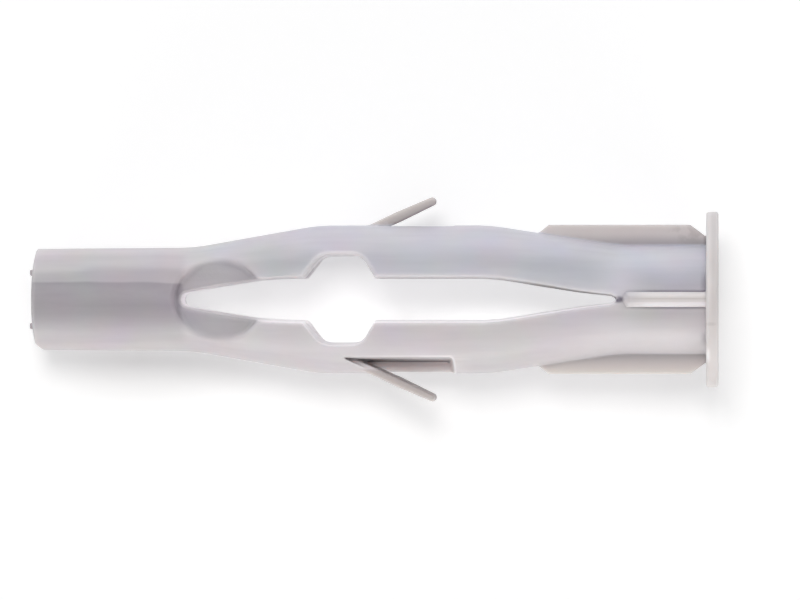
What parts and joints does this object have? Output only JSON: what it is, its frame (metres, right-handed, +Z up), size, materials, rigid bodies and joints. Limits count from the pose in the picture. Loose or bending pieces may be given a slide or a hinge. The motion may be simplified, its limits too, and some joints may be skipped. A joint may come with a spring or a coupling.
{
  "type": "wall plug",
  "caption": "Grey nylon wall plug for masonry and hollow walls: round barrel nose, bowed split legs with barbs that knot behind a board, finned neck and flat collar.",
  "frame": {"origin": "centre of the bounding box at table level, with the plug lying as it rests: on the rim of its nose and the edge of its collar", "axes": "+X along the plug from the nose to the collar, rising by 3.13 degrees; +Y across both legs and their barbs; +Z up"},
  "size_m": [0.0506, 0.015, 0.0128],
  "materials": {
    "grey_nylon": "satin, slightly translucent light grey nylon"
  },
  "bodies": {
    "root": {"plug_body": "grey_nylon"}
  },
  "joints": []
}
